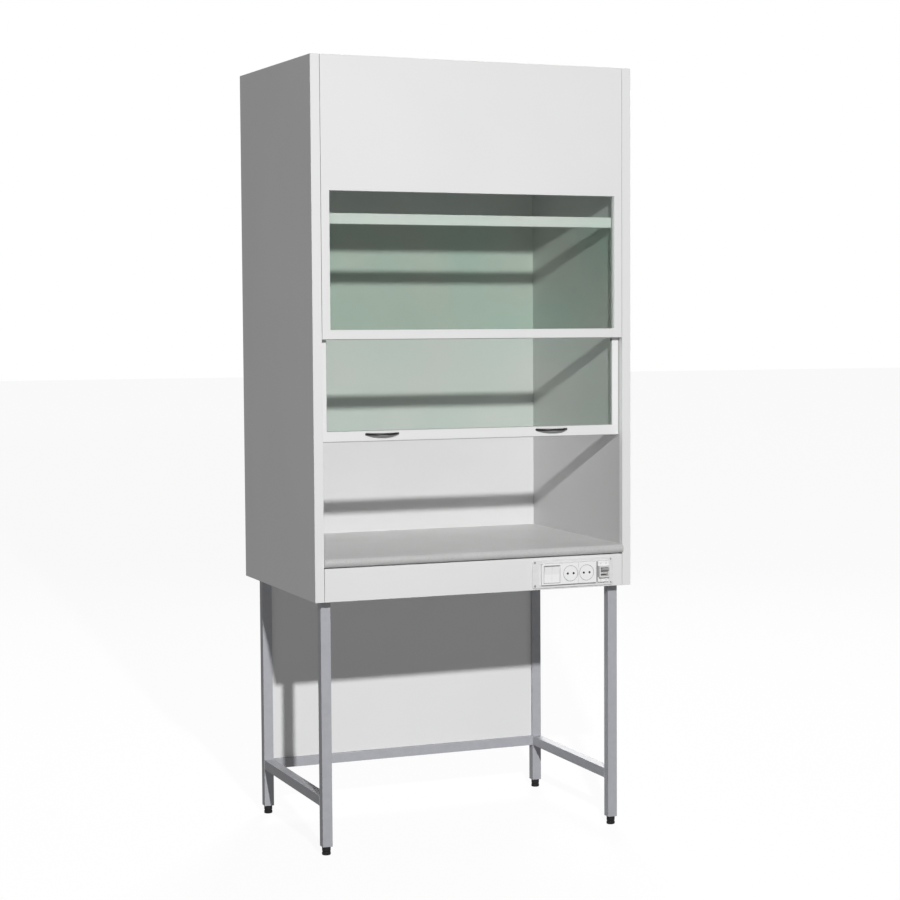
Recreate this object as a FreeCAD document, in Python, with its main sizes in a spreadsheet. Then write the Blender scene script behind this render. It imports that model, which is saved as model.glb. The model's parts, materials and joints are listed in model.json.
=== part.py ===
"""A walk-up fume hood on a steel stand, with a counterbalanced sliding sash.

Millimetres. +X is to the right of someone who faces the hood, +Y is away from them and +Z is up.
The origin is on the floor, under the middle of the whole hood.
"""
import FreeCAD, Part
import math
import os
import Sketcher

# ---------------------------------------------------------------- driving dimensions
DIMENSIONS = {
    # cabinet
    "width": 1000, "depth": 730, "height": 2313, "base": 749, "reach": 30, "nose": 10,
    "side_thick": 27.6, "skin": 6, "post": 20, "core": 121, "head": 30,
    "board": 16, "board_inset": 16, "roof_inset": 10,
    # front board and its fixed window
    "fascia_low": 1505.4, "fascia_thick": 26, "window_half": 446.7, "window_low": 1532.1,
    "window_top": 1929.4, "rebate": 8, "rebate_deep": 10, "pane": 5, "pane_gap": 0.5,
    # worktop and apron
    "worktop_top": 875, "worktop_thick": 26, "apron_top": 846,
    # stand
    "tube": 30, "tube_wall": 2, "leg_front_inset": 40, "leg_rear_inset": 58, "leg_low": 25,
    "rail_low": 143, "cross_inset": 115, "panel_thick": 8, "panel_top": 790,
    "cap_deep": 20, "cap_gap": 0.4, "foot_radius": 12.9, "foot_tall": 24.6,
    "stem_radius": 5, "stem_top": 62, "stem_gap": 0.08, "bolt_radius": 5, "bolt_head": 4,
    # sash
    "sash_inset": 27.6, "sash_thick": 15, "sash_half": 471.9, "stile": 20, "sash_low": 1209.8,
    "sash_top": 1866.6, "rail_bottom": 28.9, "rail_top": 30.4, "groove": 8, "groove_gap": 0.2,
    "grip_long": 104, "grip_reach": 26, "grip_thick": 6, "grip_tall": 7, "grip_z": 1229.5,
    "grip_left": 285, "grip_right": 250,
    # counterbalance
    "pitch": 30, "belt_wide": 10, "belt_thick": 2, "shaft_z": 2240, "tail_z": 910,
    "shaft_radius": 6, "pin_radius": 4, "run_gap": 0.05, "free_gap": 0.3, "flange": 1,
    "slot_wide": 8, "tongue": 7, "travel_up": 265, "travel_down": 330, "stop_gap": 2,
    "clamp_tall": 30, "clamp_deep": 20, "weight_thick": 14, "weight_wide": 65,
    "weight_tall": 560, "weight_low": 1235, "shoe_low": 1545,
    # exhaust and lamp
    "duct_radius": 100, "duct_wall": 3, "duct_top": 2345, "duct_y": 120, "collar": 125,
    "collar_thick": 4, "lamp_half": 310, "lamp_y": 210, "lamp_wide": 90, "lamp_tall": 42,
    "lamp_wall": 2, "shade_tall": 20, "lead_radius": 3.5, "lead_x": 250, "lead_z": 805,
    "lead_bend": 20,
    # electrical panel
    "plate_left": 173, "plate_right": 440, "plate_low": 754, "plate_top": 838,
    "plate_thick": 4, "plate_corner": 9, "box_rim": 10, "box_deep": 85, "box_wall": 2,
    "supply_radius": 5, "supply_long": 12,
    "block_left": 201, "block_right": 380, "block_low": 764, "block_top": 827.5,
    "block_proud": 13, "switch_wide": 64.6, "socket_first": 28.9, "socket_pitch": 52.7,
    "socket_deep": 31, "disc_radius": 23.5, "disc_gap": 0.7, "disc_step": 1.2,
    "pin_hole": 2.75, "pin_deep": 14, "pin_pitch": 19,
    "breaker_left": 386, "breaker_wide": 36, "breaker_proud": 11, "nose_proud": 20,
    "nose_tall": 36, "toggle_wide": 23.2, "toggle_swing": 21.09, "toggle_gap": 0.4,
    "rocker_wide": 24.8, "rocker_tall": 49, "rocker_gap": 0.4, "rocker_pivot": -2,
    "rocker_tilt": 6,
    "pivot_radius": 1.5,
}

doc = FreeCAD.newDocument("fume_hood")
sheet = doc.addObject("Spreadsheet::Sheet", "d")
for row, (alias, value) in enumerate(DIMENSIONS.items(), start=1):
    sheet.set(f"A{row}", alias)
    sheet.set(f"B{row}", str(value))
    sheet.setAlias(f"B{row}", alias)
doc.recompute()

# ---------------------------------------------------------------- places, as expressions
FRONT = "(d.reach - d.depth) / 2"
REAR = "(d.reach + d.depth) / 2"
INNER = "(d.width / 2 - d.side_thick)"
LINER = f"({INNER} + d.skin)"
SKIN = "(d.width / 2 - d.skin)"
BELT_X = "(d.width / 2 - d.side_thick / 2)"
FASCIA_BACK = f"({FRONT} + d.fascia_thick)"
BOARD_FRONT = f"({REAR} - d.board_inset - d.board)"
BOARD_BACK = f"({REAR} - d.board_inset)"
ROOF_TOP = "(d.height - d.roof_inset)"
ROOF_LOW = f"({ROOF_TOP} - d.board)"
WORKTOP_LOW = "(d.worktop_top - d.worktop_thick)"
LEG_IN = f"({INNER} - d.tube)"
LEG_FRONT = f"({FRONT} + d.leg_front_inset)"
LEG_REAR = f"({REAR} - d.leg_rear_inset)"
SASH_FRONT = f"({FRONT} + d.sash_inset)"
SASH_BACK = f"({SASH_FRONT} + d.sash_thick)"
SASH_MID = f"({SASH_FRONT} + d.sash_thick / 2)"
SHAFT_Y = f"({SASH_MID} + d.pitch)"
REAR_RUN = f"({SASH_MID} + 2 * d.pitch)"
BOX_BACK = f"({FRONT} + d.box_deep)"
BLOCK_FRONT = f"({FRONT} - d.block_proud)"
SOCKETS_LEFT = "(d.block_left + d.switch_wide)"
BLOCK_MID = "((d.block_low + d.block_top) / 2)"

SIDES = {"left": -1, "right": 1}
AXES = {
    "x": FreeCAD.Rotation(FreeCAD.Vector(0, 1, 0), 90),
    "y": FreeCAD.Rotation(FreeCAD.Vector(1, 0, 0), -90),
    "z": FreeCAD.Rotation(),
}
parts = []


# ---------------------------------------------------------------- making solids
def add(kind, label):
    """A document object with this label, made after the last one."""
    thing = doc.addObject(kind, label)
    thing.Label = label
    return thing


def node(solid):
    """Counts a solid as one of the hood's sub-parts."""
    parts.append(solid)
    return solid


def bind(thing, **sizes):
    """Ties properties of a thing to expressions of the sheet."""
    for name, expression in sizes.items():
        thing.setExpression(name.replace("_", "."), expression)


def box(label, x, y, z):
    """A box between two places along each axis."""
    solid = add("Part::Box", label)
    for size, letter, (low, high) in (("Length", "x", x), ("Width", "y", y), ("Height", "z", z)):
        solid.setExpression(size, f"({high}) - ({low})")
        solid.setExpression(f"Placement.Base.{letter}", low)
    return solid


def rod(label, axis, start, radius, length):
    """A cylinder that runs from a start point along an axis."""
    solid = add("Part::Cylinder", label)
    solid.Placement = FreeCAD.Placement(FreeCAD.Vector(), AXES[axis])
    bind(solid, Radius=radius, Height=length)
    for letter, place in zip("xyz", start):
        solid.setExpression(f"Placement.Base.{letter}", place)
    return solid


def fuse(label, *pieces):
    """One solid from pieces that touch or overlap."""
    solid = add("Part::MultiFuse", label)
    solid.Shapes = list(pieces)
    solid.Refine = True
    return solid


def cut(label, base, *tools):
    """The base without the tools."""
    solid = add("Part::Cut", label)
    solid.Base = base
    solid.Tool = tools[0] if len(tools) == 1 else fuse(label + "_tools", *tools)
    return solid


def group(label, pieces):
    """Separate solids that share one node."""
    several = add("Part::Compound", label)
    several.Links = list(pieces)
    return several


def round_edges(label, base, axis, radius):
    """Rounds every edge of the base that runs along an axis."""
    doc.recompute()
    edges = []
    for number, edge in enumerate(base.Shape.Edges, start=1):
        ends = [vertex.Point for vertex in edge.Vertexes]
        if len(ends) == 2 and abs((ends[1] - ends[0]).normalize().dot(axis)) > 0.999:
            edges.append((number, radius, radius))
    solid = add("Part::Fillet", label)
    solid.Base = base
    solid.Edges = edges
    return solid


def across(side, low, high):
    """An X range given for the right side, or its mirror image on the left."""
    return (low, high) if side == "right" else (f"-({high})", f"-({low})")


def tube(label, x, y, z, axis):
    """A square steel tube, open at both ends along its axis."""
    hollow = {}
    for letter, (low, high) in zip("xyz", (x, y, z)):
        wall = "0" if letter == axis else "d.tube_wall"
        hollow[letter] = (f"{low} + {wall}", f"{high} - {wall}")
    return cut(label, box(label + "_outside", x, y, z),
               box(label + "_inside", hollow["x"], hollow["y"], hollow["z"]))


def outline(body, plane, points):
    """A closed sketch on one of a body's own planes, through points given as expressions."""
    sketch = body.newObject("Sketcher::SketchObject", body.Name + "_outline")
    face = next(item for item in body.Origin.OriginFeatures if item.Role == plane)
    sketch.AttachmentSupport = [(face, "")]
    sketch.MapMode = "FlatFace"
    count = len(points)
    corners = [FreeCAD.Vector(50 * math.cos(2 * math.pi * step / count),
                              50 * math.sin(2 * math.pi * step / count), 0)
               for step in range(count)]
    for number in range(count):
        sketch.addGeometry(Part.LineSegment(corners[number], corners[(number + 1) % count]))
    for number in range(count):
        joined = (number + 1) % count
        sketch.addConstraint(Sketcher.Constraint("Coincident", number, 2, joined, 1))
    for number, place in enumerate(points):
        for kind, value, expression in zip(("DistanceX", "DistanceY"), corners[number], place):
            index = sketch.addConstraint(Sketcher.Constraint(kind, -1, 1, number, 1, value))
            sketch.setExpression(f"Constraints[{index}]", expression)
    return sketch


def turned(label, plane, axis, points, place):
    """A piece turned on a lathe: an outline swept once round an axis of its sketch."""
    body = add("PartDesign::Body", label)
    sketch = outline(body, plane, points)
    turn = body.newObject("PartDesign::Revolution", label + "_turned")
    turn.Profile = sketch
    turn.ReferenceAxis = (sketch, [axis])
    turn.Angle = 360
    set_place(body, place)
    return body


def extruded(label, plane, points, length, place, rotation=None):
    """An outline pushed out the same distance to both sides of its plane."""
    body = add("PartDesign::Body", label)
    pad = body.newObject("PartDesign::Pad", label + "_pad")
    pad.Profile = outline(body, plane, points)
    pad.Midplane = True
    pad.setExpression("Length", length)
    body.Tip = pad
    set_place(body, place, rotation)
    return body


def set_place(body, place, rotation=None):
    """Puts a body's own origin at a place given as expressions."""
    if rotation is not None:
        body.Placement = FreeCAD.Placement(FreeCAD.Vector(), rotation)
    for letter, expression in zip("xyz", place):
        body.setExpression(f"Placement.Base.{letter}", expression)


# ---------------------------------------------------------------- stand
def leg(side, row):
    """An upright of the stand, from its foot to the underside of the worktop."""
    front = LEG_FRONT if row == "front" else f"{LEG_REAR} - d.tube"
    node(tube(f"leg_{row}_{side}", across(side, LEG_IN, INNER), (front, f"{front} + d.tube"),
              ("d.leg_low", WORKTOP_LOW), "z"))


def lower_rail(side):
    """A rail near the floor, between the front and the rear leg of one side."""
    node(tube(f"rail_lower_{side}", across(side, LEG_IN, INNER),
              (f"{LEG_FRONT} + d.tube", f"{LEG_REAR} - d.tube"),
              ("d.rail_low", "d.rail_low + d.tube"), "y"))


def rear_rail():
    """The rail near the floor, between the rear legs."""
    node(tube("rail_lower_rear", (f"-{LEG_IN}", LEG_IN), (f"{LEG_REAR} - d.tube", LEG_REAR),
              ("d.rail_low", "d.rail_low + d.tube"), "x"))


def top_frame():
    """Tubes under the worktop: one on each side, one at the rear and one behind the apron."""
    height = (f"{WORKTOP_LOW} - d.tube", WORKTOP_LOW)
    tubes = [tube(f"top_tube_{side}", across(side, LEG_IN, INNER),
                  (f"{LEG_FRONT} + d.tube", f"{LEG_REAR} - d.tube"), height, "y")
             for side in SIDES]
    between = (f"-{LEG_IN}", LEG_IN)
    tubes.append(tube("top_tube_rear", between, (f"{LEG_REAR} - d.tube", LEG_REAR), height, "x"))
    cross = f"{FRONT} + d.cross_inset"
    tubes.append(tube("top_tube_front", between, (cross, f"{cross} + d.tube"), height, "x"))
    node(group("top_frame", tubes))


def leg_places():
    """The middle of each leg: its name, and X and Y as expressions."""
    for side, sign in SIDES.items():
        for row, middle in (("front", f"{LEG_FRONT} + d.tube / 2"),
                            ("rear", f"{LEG_REAR} - d.tube / 2")):
            yield f"{row}_{side}", f"{sign} * ({INNER} - d.tube / 2)", middle


def end_caps():
    """A plastic plug in the bottom of each leg, bored for the stem of its foot."""
    caps = []
    half = "(d.tube / 2 - d.tube_wall - d.cap_gap / 2)"
    for name, middle_x, middle_y in leg_places():
        plug = box(f"cap_plug_{name}", (f"{middle_x} - {half}", f"{middle_x} + {half}"),
                   (f"{middle_y} - {half}", f"{middle_y} + {half}"),
                   ("d.leg_low", "d.leg_low + d.cap_deep"))
        bore = rod(f"cap_bore_{name}", "z", (middle_x, middle_y, "0"),
                   "d.stem_radius + d.stem_gap", "d.stem_top")
        caps.append(cut(f"cap_{name}", plug, bore))
    node(group("leg_end_caps", caps))


def feet():
    """A levelling foot under each leg: a round moulded pad on a threaded stem."""
    lip = "d.foot_radius - 1.5"
    points = [("0", "0"), (lip, "0"), ("d.foot_radius", "1.5"),
              ("d.foot_radius", "d.foot_tall - 1"), ("d.foot_radius - 1", "d.foot_tall"),
              ("d.stem_radius", "d.foot_tall"), ("d.stem_radius", "d.stem_top"),
              ("0", "d.stem_top")]
    for name, middle_x, middle_y in leg_places():
        node(turned(f"foot_{name}", "XZ_Plane", "V_Axis", points, (middle_x, middle_y, "0")))


def lower_back_panel():
    """The panel between the rear legs, from the lower rail to just under the worktop."""
    front = f"{LEG_REAR} - d.tube / 2 - d.panel_thick / 2"
    node(box("lower_back_panel", (f"-{LEG_IN}", LEG_IN), (front, f"{front} + d.panel_thick"),
             ("d.rail_low + d.tube", "d.panel_top")))


def stand_bolts():
    """Bolt heads on the inner faces of the legs, two to a leg, that hold the cabinet's sides."""
    heads = []
    for side in SIDES:
        low, _ = across(side, f"{LEG_IN} - d.bolt_head", LEG_IN)
        for row, middle in (("front", f"{LEG_FRONT} + d.tube / 2"),
                            ("rear", f"{LEG_REAR} - d.tube + d.bolt_radius + 0.5")):
            for step, height in (("low", "d.base + 20"), ("high", "d.base + 50")):
                heads.append(rod(f"bolt_{row}_{side}_{step}", "x", (low, middle, height),
                                 "d.bolt_radius", "d.bolt_head"))
    node(group("stand_bolts", heads))


# ---------------------------------------------------------------- cabinet
def side_panel(side):
    """A hollow side wall: outer skin, posts, core and head in one board, open to the inside."""
    whole = box(f"side_whole_{side}", across(side, INNER, "d.width / 2"), (FRONT, REAR),
                ("d.base", "d.height"))
    cavity = box(f"side_cavity_{side}", across(side, INNER, SKIN),
                 (f"{FRONT} + d.post", f"{REAR} - d.post"),
                 ("d.base + d.core", "d.height - d.head"))
    node(cut(f"side_panel_{side}", whole, cavity))


def side_liner(side):
    """The inner skin of a side wall, with the sash slot and the hole of the shaft bearing."""
    whole = box(f"liner_whole_{side}", across(side, INNER, LINER),
                (f"{FRONT} + d.post", f"{REAR} - d.post"),
                ("d.base + d.core", "d.height - d.head"))
    slot = box(f"liner_slot_{side}", across(side, f"{INNER} - 1", f"{LINER} + 1"),
               (f"{SASH_MID} - d.slot_wide / 2", f"{SASH_MID} + d.slot_wide / 2"),
               ("d.shoe_low - d.travel_down - d.stop_gap",
                "d.sash_top + d.travel_up + d.stop_gap"))
    low, _ = across(side, f"{INNER} - 1", f"{LINER} + 1")
    hole = rod(f"liner_hole_{side}", "x", (low, SHAFT_Y, "d.shaft_z"),
               "d.shaft_radius + 5", "d.skin + 2")
    node(cut(f"side_liner_{side}", whole, slot, hole))


def back_panel():
    """The rear wall of the work chamber, set into the cabinet from the back."""
    board = box("back_board", (f"-{INNER}", INNER), (BOARD_FRONT, BOARD_BACK),
                ("d.base", ROOF_LOW))
    hole = rod("back_hole", "y", ("d.lead_x", f"{BOARD_FRONT} - 1", "d.lead_z + 3"), "12",
               "d.board + 2")
    node(cut("back_panel", board, hole))


def roof_panel():
    """The roof, with the exhaust hole, the lead's hole and the notch the lead comes over."""
    board = box("roof_board", (f"-{INNER}", INNER), (FASCIA_BACK, BOARD_BACK),
                (ROOF_LOW, ROOF_TOP))
    duct = rod("roof_duct_hole", "z", ("0", "d.duct_y", f"{ROOF_LOW} - 1"),
               "d.duct_radius - 2", "d.board + 2")
    lead = rod("roof_lead_hole", "z", ("d.lead_x", "3 - d.lamp_y", f"{ROOF_LOW} - 1"), "12",
               "d.board + 2")
    notch = box("roof_notch", ("d.lead_x - 7", "d.lead_x + 7"),
                (f"{BOARD_FRONT} - 8", f"{BOARD_BACK} + 1"),
                (f"{ROOF_LOW} - 1", f"{ROOF_TOP} + 1"))
    node(cut("roof_panel", board, duct, lead, notch))


def window_ring(label, x_half, z_low, z_top, y, border):
    """A rectangular ring with borders of one width."""
    whole = box(label + "_whole", (f"-({x_half})", x_half), y, (z_low, z_top))
    inside = box(label + "_inside", (f"-({x_half} - {border})", f"{x_half} - {border}"),
                 (f"{y[0]} - 1", f"{y[1]} + 1"), (f"{z_low} + {border}", f"{z_top} - {border}"))
    return cut(label, whole, inside)


def fascia():
    """The front board above the opening, with the window cut out and rebated at the back."""
    board = box("fascia_board", (f"-{INNER}", INNER), (FRONT, FASCIA_BACK),
                ("d.fascia_low", "d.height"))
    window = box("fascia_window", ("-d.window_half", "d.window_half"),
                 (f"{FRONT} - 1", f"{FASCIA_BACK} + 1"), ("d.window_low", "d.window_top"))
    step = box("fascia_step", ("-d.window_half - d.rebate", "d.window_half + d.rebate"),
               (f"{FASCIA_BACK} - d.rebate_deep", f"{FASCIA_BACK} + 1"),
               ("d.window_low - d.rebate", "d.window_top + d.rebate"))
    node(cut("fascia", board, window, step))


def window_glass():
    """The fixed pane of the front board and the beads that hold it."""
    step = f"({FASCIA_BACK} - d.rebate_deep)"
    reach = "(d.rebate - d.pane_gap)"
    node(box("window_glass", (f"-d.window_half - {reach}", f"d.window_half + {reach}"),
             (step, f"{step} + d.pane"), (f"d.window_low - {reach}", f"d.window_top + {reach}")))
    node(window_ring("window_beads", f"d.window_half + {reach}", f"d.window_low - {reach}",
                     f"d.window_top + {reach}", (f"{step} + d.pane", FASCIA_BACK), reach))


def worktop():
    """The worktop board, whose round front edge stands a little proud of the cabinet."""
    nose_y = f"{FRONT} - d.nose + d.worktop_thick / 2"
    slab = box("worktop_slab", (f"-{INNER}", INNER), (nose_y, BOARD_FRONT),
               (WORKTOP_LOW, "d.worktop_top"))
    nose = rod("worktop_nose", "x", (f"-{INNER}", nose_y, "d.worktop_top - d.worktop_thick / 2"),
               "d.worktop_thick / 2", f"2 * {INNER}")
    node(fuse("worktop", slab, nose))


def apron():
    """The board under the worktop's front edge, with the opening of the electrical box."""
    board = box("apron_board", (f"-{INNER}", INNER), (FRONT, FASCIA_BACK),
                ("d.base", "d.apron_top"))
    opening = box("apron_opening",
                  ("d.plate_left + d.box_rim - 0.5", "d.plate_right - d.box_rim + 0.5"),
                  (f"{FRONT} - 1", f"{FASCIA_BACK} + 1"),
                  ("d.plate_low + d.box_rim / 2 - 0.5", "d.plate_top - d.box_rim / 2 + 0.5"))
    node(cut("apron", board, opening))


# ---------------------------------------------------------------- sash
def sash_rail(label, low, high, groove_low, groove_high):
    """A horizontal member of the sash, grooved for the glass."""
    board = box(label + "_board", ("-d.sash_half", "d.sash_half"), (SASH_FRONT, SASH_BACK),
                (low, high))
    half = "(d.sash_half - d.stile + d.groove)"
    groove = box(label + "_groove", (f"-{half}", half),
                 (f"{SASH_MID} - d.pane / 2 - d.groove_gap",
                  f"{SASH_MID} + d.pane / 2 + d.groove_gap"), (groove_low, groove_high))
    node(cut(label, board, groove))


def sash_frame():
    """The two rails and the two stiles of the sash."""
    low_inner = "d.sash_low + d.rail_bottom"
    top_inner = "d.sash_top - d.rail_top"
    sash_rail("sash_rail_bottom", "d.sash_low", low_inner, f"{low_inner} - d.groove",
              f"{low_inner} + 1")
    sash_rail("sash_rail_top", top_inner, "d.sash_top", f"{top_inner} - 1",
              f"{top_inner} + d.groove")
    inner = "(d.sash_half - d.stile)"
    for side in SIDES:
        stile = box(f"stile_board_{side}", across(side, inner, "d.sash_half"),
                    (SASH_FRONT, SASH_BACK), (low_inner, top_inner))
        groove = box(f"stile_groove_{side}", across(side, f"{inner} - 1", f"{inner} + d.groove"),
                     (f"{SASH_MID} - d.pane / 2 - d.groove_gap",
                      f"{SASH_MID} + d.pane / 2 + d.groove_gap"), (low_inner, top_inner))
        node(cut(f"sash_stile_{side}", stile, groove))


def sash_glass():
    """The pane of the sash, held in the grooves of its frame."""
    reach = "(d.groove - 2 * d.groove_gap)"
    node(box("sash_glass", (f"-(d.sash_half - d.stile + {reach})",
                            f"d.sash_half - d.stile + {reach}"),
             (f"{SASH_MID} - d.pane / 2", f"{SASH_MID} + d.pane / 2"),
             (f"d.sash_low + d.rail_bottom - {reach}", f"d.sash_top - d.rail_top + {reach}")))


def sash_handle(side):
    """A bow handle: a flat arc that springs from the rail at both ends."""
    middle = f"{SIDES[side]} * d.grip_{side}"
    bend = "((d.grip_long / 2) ^ 2 + d.grip_reach ^ 2) / (2 * d.grip_reach)"
    centre_y = f"{SASH_FRONT} - d.grip_reach + {bend}"
    low = "d.grip_z - d.grip_tall / 2"
    outside = rod(f"grip_outside_{side}", "z", (middle, centre_y, low), bend, "d.grip_tall")
    inside = rod(f"grip_inside_{side}", "z", (middle, centre_y, f"{low} - 1"),
                 f"{bend} - d.grip_thick", "d.grip_tall + 2")
    behind = box(f"grip_behind_{side}",
                 (f"{middle} - 2 * d.grip_long", f"{middle} + 2 * d.grip_long"),
                 (SASH_FRONT, f"{SASH_FRONT} + 4 * d.grip_long"),
                 (f"{low} - 1", f"{low} + d.grip_tall + 1"))
    node(cut(f"sash_handle_{side}", outside, inside, behind))


def sash_carriers():
    """Belt clamps at the top corners of the sash and guide shoes lower down, in the wall slots."""
    pieces = []
    middle = (f"{SASH_MID} - d.tongue / 2", f"{SASH_MID} + d.tongue / 2")
    clamp_z = ("d.sash_top - d.clamp_tall", "d.sash_top")
    for side in SIDES:
        tongue = box(f"clamp_tongue_{side}", across(side, "d.sash_half", f"{LINER} + 1"), middle,
                     clamp_z)
        jaws = box(f"clamp_jaws_{side}", across(side, f"{LINER} + 0.5", f"{SKIN} - 1.5"),
                   (f"{SASH_MID} - d.clamp_deep / 2", f"{SASH_MID} + d.clamp_deep / 2"), clamp_z)
        pieces.append(cut(f"clamp_{side}", fuse(f"clamp_blank_{side}", tongue, jaws),
                          belt_channel(f"clamp_channel_{side}", side, SASH_MID)))
        pieces.append(box(f"shoe_{side}", across(side, "d.sash_half", f"{LINER} + 2"), middle,
                          ("d.shoe_low", "d.shoe_low + d.clamp_tall")))
    node(group("sash_carriers", pieces))


# ---------------------------------------------------------------- counterbalance
def belt_channel(label, side, run):
    """The space that a run of belt takes in a clamp, open towards the outer skin."""
    half = "(d.belt_thick / 2 + d.free_gap)"
    return box(label, across(side, f"{BELT_X} - d.belt_wide / 2 - d.free_gap", "d.width / 2"),
               (f"{run} - {half}", f"{run} + {half}"), ("d.base", "d.height"))


def racetrack(label, low, radius, wide):
    """A solid with a round end about each belt axis."""
    ends = [rod(f"{label}_{name}", "x", (low, SHAFT_Y, height), radius, wide)
            for name, height in (("head", "d.shaft_z"), ("tail", "d.tail_z"))]
    middle = box(label + "_middle", (low, f"{low} + {wide}"),
                 (f"{SHAFT_Y} - ({radius})", f"{SHAFT_Y} + ({radius})"), ("d.tail_z", "d.shaft_z"))
    return fuse(label, middle, *ends)


def drive_belts():
    """The endless belt in each side wall, round its top and its bottom pulley."""
    belts = []
    for side in SIDES:
        low, _ = across(side, f"{BELT_X} - d.belt_wide / 2", f"{BELT_X} + d.belt_wide / 2")
        inside, _ = across(side, f"{BELT_X} - d.belt_wide / 2 - 1",
                           f"{BELT_X} + d.belt_wide / 2 + 1")
        belts.append(cut(f"belt_{side}",
                         racetrack(f"belt_outside_{side}", low, "d.pitch + d.belt_thick / 2",
                                   "d.belt_wide"),
                         racetrack(f"belt_inside_{side}", inside, "d.pitch - d.belt_thick / 2",
                                   "d.belt_wide + 2")))
    node(group("drive_belts", belts))


def pulley(label, side, bore, height):
    """A flanged belt pulley that turns about X."""
    tread = "(d.pitch - d.belt_thick / 2 - d.free_gap)"
    rim = "(d.pitch + 2)"
    half = "(d.belt_wide / 2 + d.free_gap)"
    edge = f"({half} + d.flange)"
    points = [(f"-{edge}", bore), (f"-{edge}", rim), (f"-{half}", rim), (f"-{half}", tread),
              (half, tread), (half, rim), (edge, rim), (edge, bore)]
    return turned(label, "XY_Plane", "H_Axis", points,
                  (f"{SIDES[side]} * {BELT_X}", SHAFT_Y, height))


def counterbalance_drive():
    """The cross shaft with its two pulleys, the bottom pulleys, and what they turn in."""
    reach = f"({SKIN} - 1.2)"
    node(rod("cross_shaft", "x", (f"-{reach}", SHAFT_Y, "d.shaft_z"), "d.shaft_radius",
             f"2 * {reach}"))
    node(group("top_pulleys", [pulley(f"top_pulley_{side}", side, "d.shaft_radius + 0.01",
                                      "d.shaft_z") for side in SIDES]))
    tensioners = []
    bearings = []
    for side in SIDES:
        node(pulley(f"bottom_pulley_{side}", side, "d.pin_radius + d.run_gap", "d.tail_z"))
        plate_x = across(side, f"{SKIN} - 1.2", SKIN)
        plate = box(f"tensioner_plate_{side}", plate_x, (f"{SHAFT_Y} - 15", f"{SHAFT_Y} + 15"),
                    ("d.tail_z - 35", "d.tail_z + 35"))
        pin_x, _ = across(side, f"{LINER} + 0.5", SKIN)
        pin = rod(f"tensioner_pin_{side}", "x", (pin_x, SHAFT_Y, "d.tail_z"), "d.pin_radius",
                  f"{SKIN} - {LINER} - 0.5")
        tensioners.append(fuse(f"tensioner_{side}", plate, pin))
        barrel_x, _ = across(side, INNER, LINER)
        rim_x, _ = across(side, f"{INNER} - 3", INNER)
        bore_x, _ = across(side, f"{INNER} - 4", f"{LINER} + 1")
        barrel = rod(f"bearing_barrel_{side}", "x", (barrel_x, SHAFT_Y, "d.shaft_z"),
                     "d.shaft_radius + 5", "d.skin")
        rim = rod(f"bearing_rim_{side}", "x", (rim_x, SHAFT_Y, "d.shaft_z"),
                  "d.shaft_radius + 11", "3")
        bore = rod(f"bearing_bore_{side}", "x", (bore_x, SHAFT_Y, "d.shaft_z"),
                   "d.shaft_radius + d.run_gap", "d.skin + 5")
        bearings.append(cut(f"bearing_{side}", fuse(f"bearing_blank_{side}", barrel, rim), bore))
    node(group("belt_tensioners", tensioners))
    node(group("shaft_bearings", bearings))


def counterweight(side):
    """A flat steel weight behind the rear run of the belt, clamped to it at both ends."""
    weight_x = across(side, f"{BELT_X} - d.weight_thick / 2", f"{BELT_X} + d.weight_thick / 2")
    face = f"({REAR_RUN} + 5)"
    slab = box(f"weight_slab_{side}", weight_x, (face, f"{face} + d.weight_wide"),
               ("d.weight_low", "d.weight_low + d.weight_tall"))
    jaws = [box(f"weight_jaw_{side}_{name}", weight_x, (f"{REAR_RUN} - 6", face),
                (low, f"{low} + d.clamp_tall"))
            for name, low in (("low", "d.weight_low"),
                              ("high", "d.weight_low + d.weight_tall - d.clamp_tall"))]
    node(cut(f"counterweight_{side}", fuse(f"weight_blank_{side}", slab, *jaws),
             belt_channel(f"weight_channel_{side}", side, REAR_RUN)))


# ---------------------------------------------------------------- exhaust, lamp and its lead
def exhaust_spigot():
    """The collar on the roof that the exhaust duct slides over."""
    inner = "d.duct_radius - 2 * d.duct_wall"
    neck = "d.duct_radius - d.duct_wall"
    points = [(inner, f"{ROOF_LOW}"), (neck, f"{ROOF_LOW}"), (neck, ROOF_TOP),
              ("d.collar", ROOF_TOP), ("d.collar", f"{ROOF_TOP} + d.collar_thick"),
              ("d.duct_radius", f"{ROOF_TOP} + d.collar_thick"), ("d.duct_radius", "d.duct_top"),
              (inner, "d.duct_top")]
    node(turned("exhaust_spigot", "XZ_Plane", "V_Axis", points, ("0", "d.duct_y", "0")))


def lamp():
    """The lamp under the roof: a tray above and a translucent shade below."""
    middle = "(0 - d.lamp_y)"
    long = ("-d.lamp_half", "d.lamp_half")
    wide = (f"{middle} - d.lamp_wide / 2", f"{middle} + d.lamp_wide / 2")
    rim = f"({ROOF_LOW} - d.lamp_tall)"
    inside_long = ("d.lamp_wall - d.lamp_half", "d.lamp_half - d.lamp_wall")
    inside_wide = (f"{wide[0]} + d.lamp_wall", f"{wide[1]} - d.lamp_wall")
    node(cut("lamp_housing", box("lamp_tray", long, wide, (rim, ROOF_LOW)),
             box("lamp_tray_inside", inside_long, inside_wide,
                 (f"{rim} - 1", f"{ROOF_LOW} - d.lamp_wall"))))
    node(cut("lamp_diffuser", box("lamp_shade", long, wide, (f"{rim} - d.shade_tall", rim)),
             box("lamp_shade_inside", inside_long, inside_wide,
                 (f"{rim} - d.shade_tall + d.lamp_wall", f"{rim} + 1"))))


def arc_by(start, middle, end):
    """An arc through three points, as an edge."""
    return Part.Arc(start, middle, end).toShape()


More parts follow.
